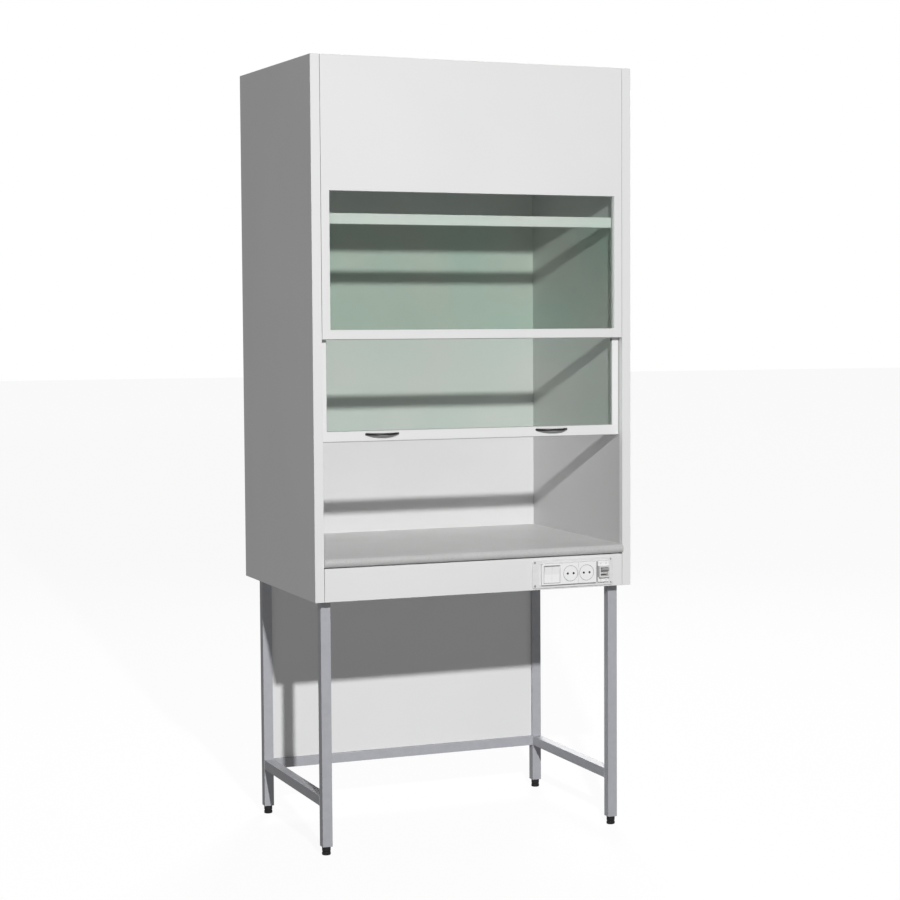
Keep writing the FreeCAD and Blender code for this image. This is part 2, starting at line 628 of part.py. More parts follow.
def lamp_lead():
    """The lamp's lead: back under the worktop, up behind the rear wall and over the roof."""
    bend = float(sheet.lead_bend)
    radius = float(sheet.lead_radius)
    across_x = float(sheet.lead_x)
    front = (sheet.reach - sheet.depth) / 2
    rear = (sheet.reach + sheet.depth) / 2
    roof_top = sheet.height - sheet.roof_inset
    start_y = front + sheet.box_deep + 12
    rise_y = rear - sheet.board_inset / 2
    over_z = roof_top + radius + 0.5
    lamp_y = -sheet.lamp_y
    slope = bend * (1 - math.sqrt(0.5))

    def at(y, z):
        return FreeCAD.Vector(across_x, y, z)

    low = at(rise_y - bend, sheet.lead_z)
    rise = at(rise_y, sheet.lead_z + bend)
    crest = at(rise_y, over_z - bend)
    over = at(rise_y - bend, over_z)
    dip = at(lamp_y + bend, over_z)
    bottom = at(lamp_y, over_z - bend)
    edges = [
        Part.LineSegment(at(start_y, sheet.lead_z), low).toShape(),
        arc_by(low, at(rise_y - slope, sheet.lead_z + slope), rise),
        Part.LineSegment(rise, crest).toShape(),
        arc_by(crest, at(rise_y - slope, over_z - slope), over),
        Part.LineSegment(over, dip).toShape(),
        arc_by(dip, at(lamp_y + slope, over_z - slope), bottom),
    ]
    path = Part.Wire(edges)
    ring = Part.Wire(Part.makeCircle(radius, at(start_y, sheet.lead_z), FreeCAD.Vector(0, 1, 0)))
    shape = path.makePipeShell([ring], True, True)
    expected = math.pi * radius ** 2 * path.Length
    print(f"lamp lead: length {path.Length:.0f}, volume over expected {shape.Volume / expected:.4f}")
    lead = add("Part::Feature", "lamp_lead")
    lead.Shape = shape
    node(lead)


def lead_clips():
    """Saddles that hold the lamp's lead under the worktop, behind the rear wall and on the roof."""
    pieces = []
    half = "d.lead_radius + 3.5"
    wide = (f"d.lead_x - ({half})", f"d.lead_x + ({half})")
    under = (f"d.lead_z - d.lead_radius - 1.5", f"{WORKTOP_LOW} - d.tube")
    for name, middle in (("front", f"{FRONT} + d.cross_inset + d.tube / 2"),
                         ("rear", f"{LEG_REAR} - d.tube / 2 - d.panel_thick")):
        saddle = box(f"clip_block_{name}", wide, (f"{middle} - 5", f"{middle} + 5"), under)
        hole = rod(f"clip_hole_{name}", "y", ("d.lead_x", f"{middle} - 6", "d.lead_z"),
                   "d.lead_radius + 0.1", "12")
        pieces.append(cut(f"clip_{name}", saddle, hole))
    for step in range(6):
        height = f"d.base + 150 + {step} * 250"
        saddle = box(f"clip_block_back_{step}", wide,
                     (BOARD_BACK, f"{REAR} - d.board_inset / 2 + d.lead_radius + 1.5"),
                     (f"{height} - 5", f"{height} + 5"))
        hole = rod(f"clip_hole_back_{step}", "z",
                   ("d.lead_x", f"{REAR} - d.board_inset / 2", f"{height} - 6"),
                   "d.lead_radius + 0.1", "12")
        pieces.append(cut(f"clip_back_{step}", saddle, hole))
    for step in range(3):
        middle = f"{step} * 150 - 80"
        saddle = box(f"clip_block_roof_{step}", wide, (f"{middle} - 5", f"{middle} + 5"),
                     (ROOF_TOP, f"{ROOF_TOP} + 2 * d.lead_radius + 2"))
        hole = rod(f"clip_hole_roof_{step}", "y",
                   ("d.lead_x", f"{middle} - 6", f"{ROOF_TOP} + d.lead_radius + 0.5"),
                   "d.lead_radius + 0.1", "12")
        pieces.append(cut(f"clip_roof_{step}", saddle, hole))
    node(group("lead_clips", pieces))


# ---------------------------------------------------------------- electrical panel
def electric_box():
    """The flush box behind the plate, open at the front, with its two cable glands."""
    x = ("d.plate_left + d.box_rim", "d.plate_right - d.box_rim")
    z = ("d.plate_low + d.box_rim / 2", "d.plate_top - d.box_rim / 2")
    whole = box("box_whole", x, (FRONT, BOX_BACK), z)
    inside = box("box_inside", (f"{x[0]} + d.box_wall", f"{x[1]} - d.box_wall"),
                 (f"{FRONT} - 1", f"{BOX_BACK} - d.box_wall"),
                 (f"{z[0]} + d.box_wall", f"{z[1]} - d.box_wall"))
    entries = []
    glands = []
    for name, axis, start, bore, length in (
            ("lead", "y", ("d.lead_x", BOX_BACK, "d.lead_z"), "d.lead_radius + 0.3", "18"),
            ("supply", "z", ("d.plate_right - 60", f"{FRONT} + 60", f"{z[0]} - d.supply_long"),
             "d.supply_radius", "d.supply_long")):
        inward = -1 if axis == "y" else 1
        nut_start = list(start)
        bore_start = list(start)
        if inward < 0:
            bore_start[1] = f"{start[1]} - d.box_wall - 1"
        else:
            nut_start[2] = f"{z[0]} - 5"
        nut = rod(f"gland_nut_{name}", axis, nut_start, "11", "5")
        neck = rod(f"gland_neck_{name}", axis, start, "9", length)
        through = f"{length} + d.box_wall + 2"
        entries.append(rod(f"box_entry_{name}", axis, bore_start, bore, through))
        hole = rod(f"gland_bore_{name}", axis, bore_start, bore, through)
        glands.append(cut(f"gland_{name}", fuse(f"gland_blank_{name}", nut, neck), hole))
    node(cut("electric_box", whole, inside, *entries))
    node(group("cable_glands", glands))


def electric_plate():
    """The white cover plate, with one opening for the switch and sockets and one for the breaker."""
    blank = box("plate_blank", ("d.plate_left", "d.plate_right"),
                (f"{FRONT} - d.plate_thick", FRONT), ("d.plate_low", "d.plate_top"))
    rounded = round_edges("plate_rounded", blank, FreeCAD.Vector(0, 1, 0),
                          float(sheet.plate_corner))
    through = (f"{FRONT} - d.plate_thick - 1", f"{FRONT} + 1")
    opening = box("plate_opening", ("d.block_left - 0.2", "d.block_right + 0.2"),
                  through, ("d.block_low - 0.2", "d.block_top + 0.2"))
    window = box("plate_window", ("d.breaker_left - 0.2", "d.breaker_left + d.breaker_wide + 0.2"),
                 through, ("d.block_low - 0.2", "d.block_top + 0.2"))
    node(cut("electric_plate", rounded, opening, window))
    screws = []
    for place_x in ("d.plate_left + 9", "d.plate_right - 9"):
        for place_z in ("d.plate_low + 7.5", "d.plate_top - 6"):
            number = len(screws) + 1
            head = rod(f"screw_head_{number}", "y",
                       (place_x, f"{FRONT} - d.plate_thick - 1.4", place_z), "3.4", "1.4")
            slot = box(f"screw_slot_{number}", (f"{place_x} - 2.6", f"{place_x} + 2.6"),
                       (f"{FRONT} - d.plate_thick - 2", f"{FRONT} - d.plate_thick - 0.6"),
                       (f"{place_z} - 0.4", f"{place_z} + 0.4"))
            screws.append(cut(f"screw_{number}", head, slot))
    node(group("plate_screws", screws))


def switch():
    """The frame of the double switch and its two rockers."""
    middle_x = "(d.block_left + d.switch_wide / 2)"
    half_wide = "(d.rocker_wide + d.rocker_gap * 1.5)"
    half_tall = "(d.rocker_tall / 2 + 1.6)"
    block = box("switch_block", ("d.block_left", SOCKETS_LEFT),
                (BLOCK_FRONT, f"{FRONT} + 20"), ("d.block_low", "d.block_top"))
    well = box("switch_well", (f"{middle_x} - {half_wide}", f"{middle_x} + {half_wide}"),
               (f"{BLOCK_FRONT} - 1", f"{FRONT} + 16"),
               (f"{BLOCK_MID} - {half_tall}", f"{BLOCK_MID} + {half_tall}"))
    pivot_y = f"{FRONT} + d.rocker_pivot"
    pin = rod("switch_pin", "x", (f"{middle_x} - {half_wide}", pivot_y, BLOCK_MID),
              "d.pivot_radius", f"2 * {half_wide}")
    node(fuse("switch_frame", cut("switch_case", block, well), pin))
    tilt = FreeCAD.Rotation(FreeCAD.Vector(1, 0, 0), float(sheet.rocker_tilt))
    face = "(d.block_proud + d.rocker_pivot)"
    points = [(f"1 - {face}", "0"), (f"0 - {face} - 1.5", "d.rocker_tall / 2"),
              ("5", "d.rocker_tall / 2"), ("7", "0"), ("5", "0 - d.rocker_tall / 2"),
              (f"0 - {face} - 1.5", "0 - d.rocker_tall / 2")]
    for side, sign in SIDES.items():
        centre = f"{middle_x} + {sign} * (d.rocker_wide + d.rocker_gap) / 2"
        blank = extruded(f"rocker_blank_{side}", "YZ_Plane", points, "d.rocker_wide",
                         (centre, pivot_y, BLOCK_MID), tilt)
        bore = rod(f"rocker_bore_{side}", "x",
                   (f"{centre} - d.rocker_wide / 2 - 1", pivot_y, BLOCK_MID),
                   "d.pivot_radius + d.run_gap", "d.rocker_wide + 2")
        node(cut(f"switch_rocker_{side}", blank, bore))


def sockets():
    """Two flat-faced sockets: each is a square module with a round face and two pin holes."""
    seam = f"({SOCKETS_LEFT} + d.socket_first + d.socket_pitch / 2)"
    spans = {"left": (f"{SOCKETS_LEFT} + 0.1", f"{seam} - 0.05"),
             "right": (f"{seam} + 0.05", "d.block_right")}
    for number, (side, span) in enumerate(spans.items()):
        middle = f"({SOCKETS_LEFT} + d.socket_first + {number} * d.socket_pitch)"
        block = box(f"socket_block_{side}", span, (BLOCK_FRONT, f"{BLOCK_FRONT} + d.socket_deep"),
                    ("d.block_low", "d.block_top"))
        start = (middle, f"{BLOCK_FRONT} - 1", BLOCK_MID)
        step = rod(f"socket_step_{side}", "y", start, "d.disc_radius", "1 + d.disc_step")
        core = rod(f"socket_core_{side}", "y", start, "d.disc_radius - d.disc_gap",
                   "1 + d.disc_step")
        holes = [rod(f"socket_hole_{side}_{name}", "y",
                     (f"{middle} + {sign} * d.pin_pitch / 2", f"{BLOCK_FRONT} - 1", BLOCK_MID),
                     "d.pin_hole", "1 + d.pin_deep")
                 for name, sign in SIDES.items()]
        groove = cut(f"socket_groove_{side}", step, core)
        node(cut(f"socket_{side}", block, groove, *holes))


def circuit_breaker():
    """The two-pole breaker and its toggle, which is up when it is on."""
    wide = ("d.breaker_left", "d.breaker_left + d.breaker_wide")
    middle = "(d.breaker_left + d.breaker_wide / 2)"
    nose = (f"{BLOCK_MID} - d.nose_tall / 2", f"{BLOCK_MID} + d.nose_tall / 2")
    case = box("breaker_case", wide, (f"{FRONT} - d.breaker_proud", f"{FRONT} + 60"),
               ("d.block_low", "d.block_top"))
    bridge = box("breaker_bridge", (f"{wide[0]} + 1.5", f"{wide[1]} - 1.5"),
                 (f"{FRONT} - d.nose_proud", FRONT), nose)
    half = "(d.toggle_wide / 2 + d.toggle_gap)"
    well = box("breaker_well", (f"{middle} - {half}", f"{middle} + {half}"),
               (f"{FRONT} - d.nose_proud - 1", f"{FRONT} - 1"),
               (f"{BLOCK_MID} - 12.5", f"{BLOCK_MID} + 12.5"))
    pivot = (f"{middle} - {half}", f"{FRONT} - d.reach + d.toggle_swing", BLOCK_MID)
    pin = rod("breaker_pin", "x", pivot, "d.pivot_radius", f"2 * {half}")
    node(fuse("circuit_breaker",
              cut("breaker_body", fuse("breaker_blank", case, bridge), well), pin))
    points = [("-22", "-3"), ("-22", "3"), ("-8", "4"), ("-6", "6"), ("0", "7"), ("5", "5"),
              ("5", "-5"), ("0", "-7"), ("-6", "-6"), ("-8", "-4")]
    up = FreeCAD.Rotation(FreeCAD.Vector(1, 0, 0), -26)
    blank = extruded("toggle_blank", "YZ_Plane", points, "d.toggle_wide",
                     (middle, pivot[1], BLOCK_MID), up)
    bore = rod("toggle_bore", "x", pivot, "d.pivot_radius + d.run_gap", f"2 * {half}")
    node(cut("breaker_toggle", blank, bore))


# ---------------------------------------------------------------- the hood
for each_side in SIDES:
    leg(each_side, "front")
    leg(each_side, "rear")
    lower_rail(each_side)
    side_panel(each_side)
    side_liner(each_side)
    sash_handle(each_side)
    counterweight(each_side)
rear_rail()
top_frame()
end_caps()
feet()
lower_back_panel()
stand_bolts()
back_panel()
roof_panel()
fascia()
window_glass()
worktop()
apron()
sash_frame()
sash_glass()
sash_carriers()
drive_belts()
counterbalance_drive()
exhaust_spigot()
lamp()
lamp_lead()
lead_clips()
electric_box()
electric_plate()
switch()
sockets()
circuit_breaker()
doc.recompute()

for thing in doc.Objects:
    if {"Invalid", "Error"} & set(thing.State):
        raise RuntimeError(f"{thing.Label} failed: {thing.State}")
for part in parts:
    if part.Shape.isNull() or not part.Shape.isValid() or part.Shape.Volume <= 0:
        raise RuntimeError(f"{part.Label} has no sound shape")

os.makedirs("parts", exist_ok=True)
for part in parts:
    part.Shape.exportStep(f"parts/{part.Label}.step")
print(len(parts), "parts")
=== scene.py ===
"""Looks of the fume hood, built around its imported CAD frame. Metres, +Z up, +Y away from the user."""
import json
import math

import bmesh
import bpy
from mathutils import Matrix, Vector


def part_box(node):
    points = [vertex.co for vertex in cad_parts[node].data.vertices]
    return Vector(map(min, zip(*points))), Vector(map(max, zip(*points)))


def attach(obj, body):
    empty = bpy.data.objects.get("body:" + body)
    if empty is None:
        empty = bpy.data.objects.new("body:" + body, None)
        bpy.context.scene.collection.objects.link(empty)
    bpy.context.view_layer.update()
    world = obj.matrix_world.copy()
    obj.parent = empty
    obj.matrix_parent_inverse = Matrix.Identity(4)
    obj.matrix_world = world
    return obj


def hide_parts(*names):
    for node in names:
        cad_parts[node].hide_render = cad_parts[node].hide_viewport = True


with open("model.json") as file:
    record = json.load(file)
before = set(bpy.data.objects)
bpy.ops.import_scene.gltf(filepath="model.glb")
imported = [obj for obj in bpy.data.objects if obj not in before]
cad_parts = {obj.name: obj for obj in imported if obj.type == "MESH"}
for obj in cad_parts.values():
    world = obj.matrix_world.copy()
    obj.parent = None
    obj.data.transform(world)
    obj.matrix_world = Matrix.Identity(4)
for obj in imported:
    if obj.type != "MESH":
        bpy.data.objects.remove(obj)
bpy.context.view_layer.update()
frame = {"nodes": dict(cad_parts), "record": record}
nodes = frame["nodes"]
record = frame["record"]
mounts = {mount["name"]: Vector(mount["pos_m"]) for mount in record["mounts"]}
slot_of = {row["node"]: row["material_slot"] for row in record["subparts"]}
body_of = {node: body for body, members in record["behaviour"]["bodies"].items() for node in members}
MM = 0.001
SHARP = math.radians(35)
TOWARDS_USER = (0, -1, 0)
AWAY = (0, 1, 0)
RIGHT = (1, 0, 0)
UP = (0, 0, 1)


# ---------------------------------------------------------------- camera, lights and stage
def make_camera():
    """The photographer stood to the left of the hood, at eye level, with a long lens."""
    data = bpy.data.cameras.new("camera")
    data.sensor_width = 36
    data.lens = 90.74
    data.shift_x = -0.2166
    data.shift_y = 0.01173
    camera = bpy.data.objects.new("camera", data)
    camera.location = (-2.4384, -6.5935, 1.6175)
    down, right = math.radians(4.045), math.radians(25.57)
    camera.rotation_euler = (math.radians(90) - down, 0, -right)
    bpy.context.scene.collection.objects.link(camera)
    bpy.context.scene.camera = camera


def make_light(name, place, target, size, power):
    """A round studio lamp that lights everything alike, however far away."""
    data = bpy.data.lights.new(name, "AREA")
    data.shape = "DISK"
    data.size = size
    data.energy = power
    data.use_nodes = True
    tree = data.node_tree
    falloff = tree.nodes.new("ShaderNodeLightFalloff")
    falloff.inputs["Strength"].default_value = 1
    tree.links.new(falloff.outputs["Constant"], tree.nodes["Emission"].inputs["Strength"])
    lamp = bpy.data.objects.new(name, data)
    lamp.location = place
    lamp.rotation_euler = (Vector(target) - Vector(place)).to_track_quat("-Z", "Y").to_euler()
    bpy.context.scene.collection.objects.link(lamp)


def make_world(above, below, backdrop, mirrored):
    """A soft fill light, stronger from the white floor, and a white backdrop for the camera."""
    world = bpy.data.worlds.new("studio")
    bpy.context.scene.world = world
    world.use_nodes = True
    tree = world.node_tree
    shade = tree.nodes["Background"]
    place = tree.nodes.new("ShaderNodeTexCoord")
    split = tree.nodes.new("ShaderNodeSeparateXYZ")
    level = tree.nodes.new("ShaderNodeMapRange")
    horizon = 0.25
    level.inputs["From Min"].default_value = -horizon
    level.inputs["From Max"].default_value = horizon
    level.inputs["To Min"].default_value = below
    level.inputs["To Max"].default_value = above
    tree.links.new(place.outputs["Generated"], split.inputs[0])
    tree.links.new(split.outputs["Z"], level.inputs["Value"])
    tree.links.new(level.outputs[0], shade.inputs["Color"])
    ray = tree.nodes.new("ShaderNodeLightPath")
    last = shade.outputs[0]
    for kind, grey in (("Is Glossy Ray", mirrored), ("Is Camera Ray", backdrop)):
        seen = tree.nodes.new("ShaderNodeBackground")
        seen.inputs["Color"].default_value = (grey, grey, grey, 1)
        mix = tree.nodes.new("ShaderNodeMixShader")
        tree.links.new(ray.outputs[kind], mix.inputs[0])
        tree.links.new(last, mix.inputs[1])
        tree.links.new(seen.outputs[0], mix.inputs[2])
        last = mix.outputs[0]
    tree.links.new(last, tree.nodes["World Output"].inputs[0])


def make_stage(own_light, albedo):
    """The plain pale floor, which keeps out of the object's own lighting."""
    mesh = bpy.data.meshes.new("floor")
    half = 40
    mesh.from_pydata([(-half, -half, 0), (half, -half, 0), (half, half, 0), (-half, half, 0)], [],
                     [(0, 1, 2, 3)])
    floor = bpy.data.objects.new("floor", mesh)
    bpy.context.scene.collection.objects.link(floor)
    material = bpy.data.materials.new("floor")
    material.use_nodes = True
    shader = material.node_tree.nodes["Principled BSDF"]
    shader.inputs["Base Color"].default_value = (albedo, albedo, albedo, 1)
    shader.inputs["Roughness"].default_value = 1
    shader.inputs["Specular IOR Level"].default_value = 0
    shader.inputs["Emission Color"].default_value = (1, 1, 1, 1)
    shader.inputs["Emission Strength"].default_value = own_light
    mesh.materials.append(material)
    floor.visible_diffuse = False
    floor.visible_glossy = False


make_camera()
make_world(above=0.13, below=0.32, backdrop=1.0, mirrored=0.35)
make_light("key", (-0.905, -4.255, 2.81), (0, 0, 1.3), 0.12, 7.9)
make_light("rear", (2.2, 4.6, 3.6), (0, 0.3, 1.4), 1.6, 6.0)
make_stage(own_light=0.935, albedo=0.07)
bpy.context.scene.view_settings.view_transform = "Standard"


# ---------------------------------------------------------------- materials
class Paint:
    """A Principled material whose colour, roughness and bump come from procedural textures."""

    def __init__(self, name, color, roughness, **sockets):
        self.material = bpy.data.materials.new(name)
        self.material.use_nodes = True
        self.tree = self.material.node_tree
        self.shader = self.tree.nodes["Principled BSDF"]
        self.color = color
        self.shader.inputs["Base Color"].default_value = (*color, 1)
        self.shader.inputs["Roughness"].default_value = roughness
        self.roughness = roughness
        for socket, value in sockets.items():
            self.shader.inputs[socket.replace("_", " ")].default_value = value
        self.place = self.node("ShaderNodeTexCoord").outputs["Object"]

    def node(self, kind, **values):
        """A node with some of its input sockets set."""
        made = self.tree.nodes.new(kind)
        for socket, value in values.items():
            made.inputs[socket].default_value = value
        return made

    def link(self, output, socket):
        self.tree.links.new(output, socket)

    def noise(self, size, detail=2.0, stretch=(1, 1, 1)):
        """Noise whose features are about a size across, in metres."""
        mapping = self.node("ShaderNodeMapping", Scale=stretch)
        self.link(self.place, mapping.inputs["Vector"])
        noise = self.node("ShaderNodeTexNoise", Scale=1 / size, Detail=detail)
        self.link(mapping.outputs[0], noise.inputs["Vector"])
        return noise.outputs["Fac"]

    def ramp(self, value, low, high, dark, light):
        """A colour that goes from dark to light as a value goes from low to high."""
        ramp = self.node("ShaderNodeValToRGB")
        ramp.color_ramp.elements[0].position = low
        ramp.color_ramp.elements[1].position = high
        ramp.color_ramp.elements[0].color = (*dark, 1)
        ramp.color_ramp.elements[1].color = (*light, 1)
        self.link(value, ramp.inputs[0])
        return ramp.outputs[0]

    def multiply(self, first, second, share):
        """One colour darkened by a share of another."""
        mix = self.node("ShaderNodeMix")
        mix.data_type = "RGBA"
        mix.blend_type = "MULTIPLY"
        mix.inputs["Factor"].default_value = share
        self.link(first, mix.inputs["A"])
        self.link(second, mix.inputs["B"])
        return mix.outputs["Result"]

    def mottle(self, size, amount):
        """Gives the colour a soft variation of an amount, up and down."""
        dark = [c * (1 - amount) for c in self.color]
        light = [min(1, c * (1 + amount)) for c in self.color]
        self.link(self.ramp(self.noise(size, 3.0), 0.35, 0.65, dark, light),
                  self.shader.inputs["Base Color"])
        return self

    def uneven(self, size, amount):
        """Lets the roughness wander by an amount, up and down."""
        spread = self.node("ShaderNodeMapRange")
        spread.inputs["To Min"].default_value = max(0.02, self.roughness - amount)
        spread.inputs["To Max"].default_value = min(1, self.roughness + amount)
        self.link(self.noise(size), spread.inputs["Value"])
        self.link(spread.outputs[0], self.shader.inputs["Roughness"])
        return self

    def bumpy(self, size, height, stretch=(1, 1, 1)):
        """Adds a fine relief of a height, in metres."""
        bump = self.node("ShaderNodeBump", Strength=1.0, Distance=height)
        self.link(self.noise(size, 2.0, stretch), bump.inputs["Height"])
        self.link(bump.outputs[0], self.shader.inputs["Normal"])
        return self


def glass(name, green, grey):
    """Flat glass: tinted to look through, clear to the lamps, and more of a mirror at a low angle."""
    paint = Paint(name, green, 0.02)
    tint = paint.ramp(paint.noise(0.25, 1), 0.35, 0.65, green, grey)
    material, tree = paint.material, paint.tree
    tree.nodes.remove(paint.shader)
    through = tree.nodes.new("ShaderNodeBsdfTransparent")
    tree.links.new(tint, through.inputs["Color"])
    clear = tree.nodes.new("ShaderNodeBsdfTransparent")
    clear.inputs["Color"].default_value = (0.98, 0.98, 0.98, 1)
    mirror = tree.nodes.new("ShaderNodeBsdfGlossy")
    mirror.inputs["Roughness"].default_value = 0.02
    facing = tree.nodes.new("ShaderNodeFresnel")
    facing.inputs["IOR"].default_value = 1.5
    ray = tree.nodes.new("ShaderNodeLightPath")
    pane = tree.nodes.new("ShaderNodeMixShader")
    tree.links.new(facing.outputs[0], pane.inputs[0])
    tree.links.new(through.outputs[0], pane.inputs[1])
    tree.links.new(mirror.outputs[0], pane.inputs[2])
    lit = tree.nodes.new("ShaderNodeMixShader")
    tree.links.new(ray.outputs["Is Shadow Ray"], lit.inputs[0])
    tree.links.new(pane.outputs[0], lit.inputs[1])
    tree.links.new(clear.outputs[0], lit.inputs[2])
    tree.links.new(lit.outputs[0], tree.nodes["Material Output"].inputs[0])
    return material


def worktop_laminate():
    """Light grey laminate with a fine speckle, and painted shade that darkens its rolled front edge."""
    paint = Paint("worktop_laminate", (0.71, 0.71, 0.705), 0.4)
    cloud = paint.ramp(paint.noise(0.2, 3), 0.35, 0.65, (0.69, 0.69, 0.685), (0.73, 0.73, 0.725))
    speck = paint.ramp(paint.noise(0.0022, 1), 0.36, 0.44, (0.55, 0.55, 0.55), (1, 1, 1))
    split = paint.node("ShaderNodeSeparateXYZ")
    paint.link(paint.place, split.inputs[0])
    # Painted shade: the colour falls to 0.8 of itself towards the front of the rolled nose, standing for
    # the shade the round edge turns into.
    depth = paint.node("ShaderNodeMapRange")
    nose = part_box("worktop")[0][1]
    rolled = 16 * MM
    depth.inputs["From Min"].default_value = nose
    depth.inputs["From Max"].default_value = nose + rolled
    paint.link(split.outputs["Y"], depth.inputs["Value"])
    edge = paint.ramp(depth.outputs[0], 0.1, 1.0, (0.8, 0.8, 0.8), (1, 1, 1))
    color = paint.multiply(paint.multiply(cloud, speck, 0.35), edge, 1.0)
    paint.link(color, paint.shader.inputs["Base Color"])
    return paint.uneven(0.05, 0.06).bumpy(0.0012, 0.00004)


def white_board(name, white, roughness):
    """White melamine board, with the fine pebble of its surface."""
    paint = Paint(name, white, roughness, Specular_IOR_Level=0.35)
    return paint.mottle(0.4, 0.01).uneven(0.15, 0.05).bumpy(0.002, 0.00003)


def plain_plastic(name, color, roughness):
    """Moulded plastic with a faint grain and uneven gloss."""
    return Paint(name, color, roughness).mottle(0.012, 0.03).uneven(0.02, 0.06).bumpy(0.0009, 0.00002)


def metal(name, color, roughness, stretch=(1, 1, 1)):
    """Bare metal with a drawn or cast grain."""
    paint = Paint(name, color, roughness, Metallic=1.0).mottle(0.01, 0.05)
    return paint.bumpy(0.0007, 0.00002, stretch)


def materials():
    """One finish for each material slot of the record."""
    made = {
        "white_board": white_board("white_board", (0.80, 0.80, 0.80), 0.45),
        # chamber_board is a darker copy of the white board: painted shade for the dimmer light inside the
        # chamber.
        "chamber_board": white_board("chamber_board", (0.70, 0.70, 0.70), 0.4),
        "sash_frame": white_board("sash_frame", (0.82, 0.82, 0.82), 0.35),
        "worktop_laminate": worktop_laminate(),
        "stand_paint": Paint("stand_paint", (0.43, 0.435, 0.465), 0.45)
        .mottle(0.02, 0.03).uneven(0.05, 0.06).bumpy(0.0012, 0.00006),
        "black_plastic": plain_plastic("black_plastic", (0.012, 0.012, 0.013), 0.4),
        "bead": plain_plastic("bead", (0.35, 0.36, 0.35), 0.6),
        "bright_steel": metal("bright_steel", (0.6, 0.6, 0.61), 0.3, (1, 1, 12)),
        "pulley_alloy": metal("pulley_alloy", (0.72, 0.72, 0.73), 0.35),
        "contact_metal": metal("contact_metal", (0.78, 0.66, 0.38), 0.3),
        "belt_rubber": Paint("belt_rubber", (0.02, 0.02, 0.02), 0.7)
        .mottle(0.01, 0.2).bumpy(0.002, 0.0002),
        "white_plastic": Paint("white_plastic", (0.92, 0.92, 0.92), 0.25, Coat_Weight=0.15)
        .mottle(0.05, 0.01).uneven(0.03, 0.05).bumpy(0.002, 0.00001),
        "grey_plastic": plain_plastic("grey_plastic", (0.36, 0.36, 0.37), 0.4),
        "lead_sheath": plain_plastic("lead_sheath", (0.7, 0.7, 0.69), 0.45),
        "lamp_tray": Paint("lamp_tray", (0.82, 0.82, 0.82), 0.3)
        .mottle(0.05, 0.015).bumpy(0.001, 0.00003),
        "lamp_shade": Paint("lamp_shade", (0.86, 0.86, 0.85), 0.45)
        .mottle(0.05, 0.01).bumpy(0.003, 0.0001, (8, 1, 1)),
        "spigot_plastic": plain_plastic("spigot_plastic", (0.42, 0.43, 0.45), 0.45),
    }
    finished = {slot: paint.material for slot, paint in made.items()}
    finished["plate"] = plain_plastic("plate", (0.76, 0.76, 0.76), 0.45).material
    # The liner is a greyer copy of the board: painted shade for the side walls inside the chamber.
    finished["liner"] = white_board("liner", (0.61, 0.61, 0.61), 0.45).material
    finished["pane"] = glass("pane", (0.855, 0.92, 0.88), (0.885, 0.92, 0.885))
    return finished


finish_of = materials()


# ---------------------------------------------------------------- mesh tools
def add_block(bm, low, high, radius, segments=3):
    """A block with all its edges rounded."""
    low, high = Vector(low), Vector(high)
    place = Matrix.Translation((low + high) / 2) @ Matrix.Diagonal((*(high - low), 1))
    made = bmesh.ops.create_cube(bm, size=1, matrix=place)
    edges = list({edge for vert in made["verts"] for edge in vert.link_edges})
    bmesh.ops.bevel(bm, geom=edges, offset=radius, segments=segments, profile=0.5, affect="EDGES")


def facing(centre, axis, turn=0.0):
    """The frame whose own Z points along an axis from a centre."""
    track = Vector(axis).to_track_quat("Z", "Y").to_matrix().to_4x4()
    return Matrix.Translation(centre) @ track @ Matrix.Rotation(turn, 4, "Z")


def spoke(radius, angle, height=0.0):
    """The point at a radius, an angle and a height about the Z axis."""
    return Vector((radius * math.cos(angle), radius * math.sin(angle), height))


def add_turned(bm, place, profile, around=40, wave=None):
    """A lathe shape: (radius, height) pairs swept round the Z axis of a frame."""
    rings = []
    for radius, height in profile:
        ring = []
        for step in range(around):
            angle = 2 * math.pi * step / around
            reach = radius * (wave(angle) if wave else 1)
            ring.append(bm.verts.new(place @ spoke(reach, angle, height)))
        rings.append(ring)
    for below, above in zip(rings, rings[1:]):
        add_wall(bm, below, above)
    bm.faces.new(list(reversed(rings[0])))
    bm.faces.new(rings[-1])


def add_screw(bm, centre, axis, radius, tall, turn=0.0):
    """A round slotted head: a disc with two half rounds on it, the slot between them."""
    place = facing(centre, axis, turn)
    floor = 0.45 * tall
    slot = 0.14 * radius
    add_turned(bm, place, [(0.96 * radius, 0), (radius, 0.2 * tall), (radius, floor)], 24)
    for side in (1, -1):
        start = math.asin(slot / radius)
        steps = 12
        arc = [start + (math.pi - 2 * start) * step / steps for step in range(steps + 1)]
        rings = []
        for scale, height in ((1.0, floor), (0.97, 0.75 * tall), (0.82, tall)):
            ring = []
            for angle in arc:
                flat = max(slot, scale * radius * math.sin(angle))
                ring.append(bm.verts.new(place @ Vector((scale * radius * math.cos(angle),
                                                         side * flat, height))))
            rings.append(ring)
        for below, above in zip(rings, rings[1:]):
            add_wall(bm, below, above)
        bm.faces.new(rings[0])
        bm.faces.new(rings[-1])


def circle(centre, radius, around=40):
    """Points round a circle in a vertical plane that faces the user."""
    angles = [2 * math.pi * step / around for step in range(around)]
    return [Vector((centre[0] + radius * math.cos(angle), centre[1],
                    centre[2] + radius * math.sin(angle))) for angle in angles]


def rectangle(low, high, depth, inset=0.0):
    """Corners of an upright rectangle that faces the user, at a depth."""
    return [Vector((low[0] + inset, depth, low[2] + inset)),
            Vector((high[0] - inset, depth, low[2] + inset)),
            Vector((high[0] - inset, depth, high[2] - inset)),
            Vector((low[0] + inset, depth, high[2] - inset))]


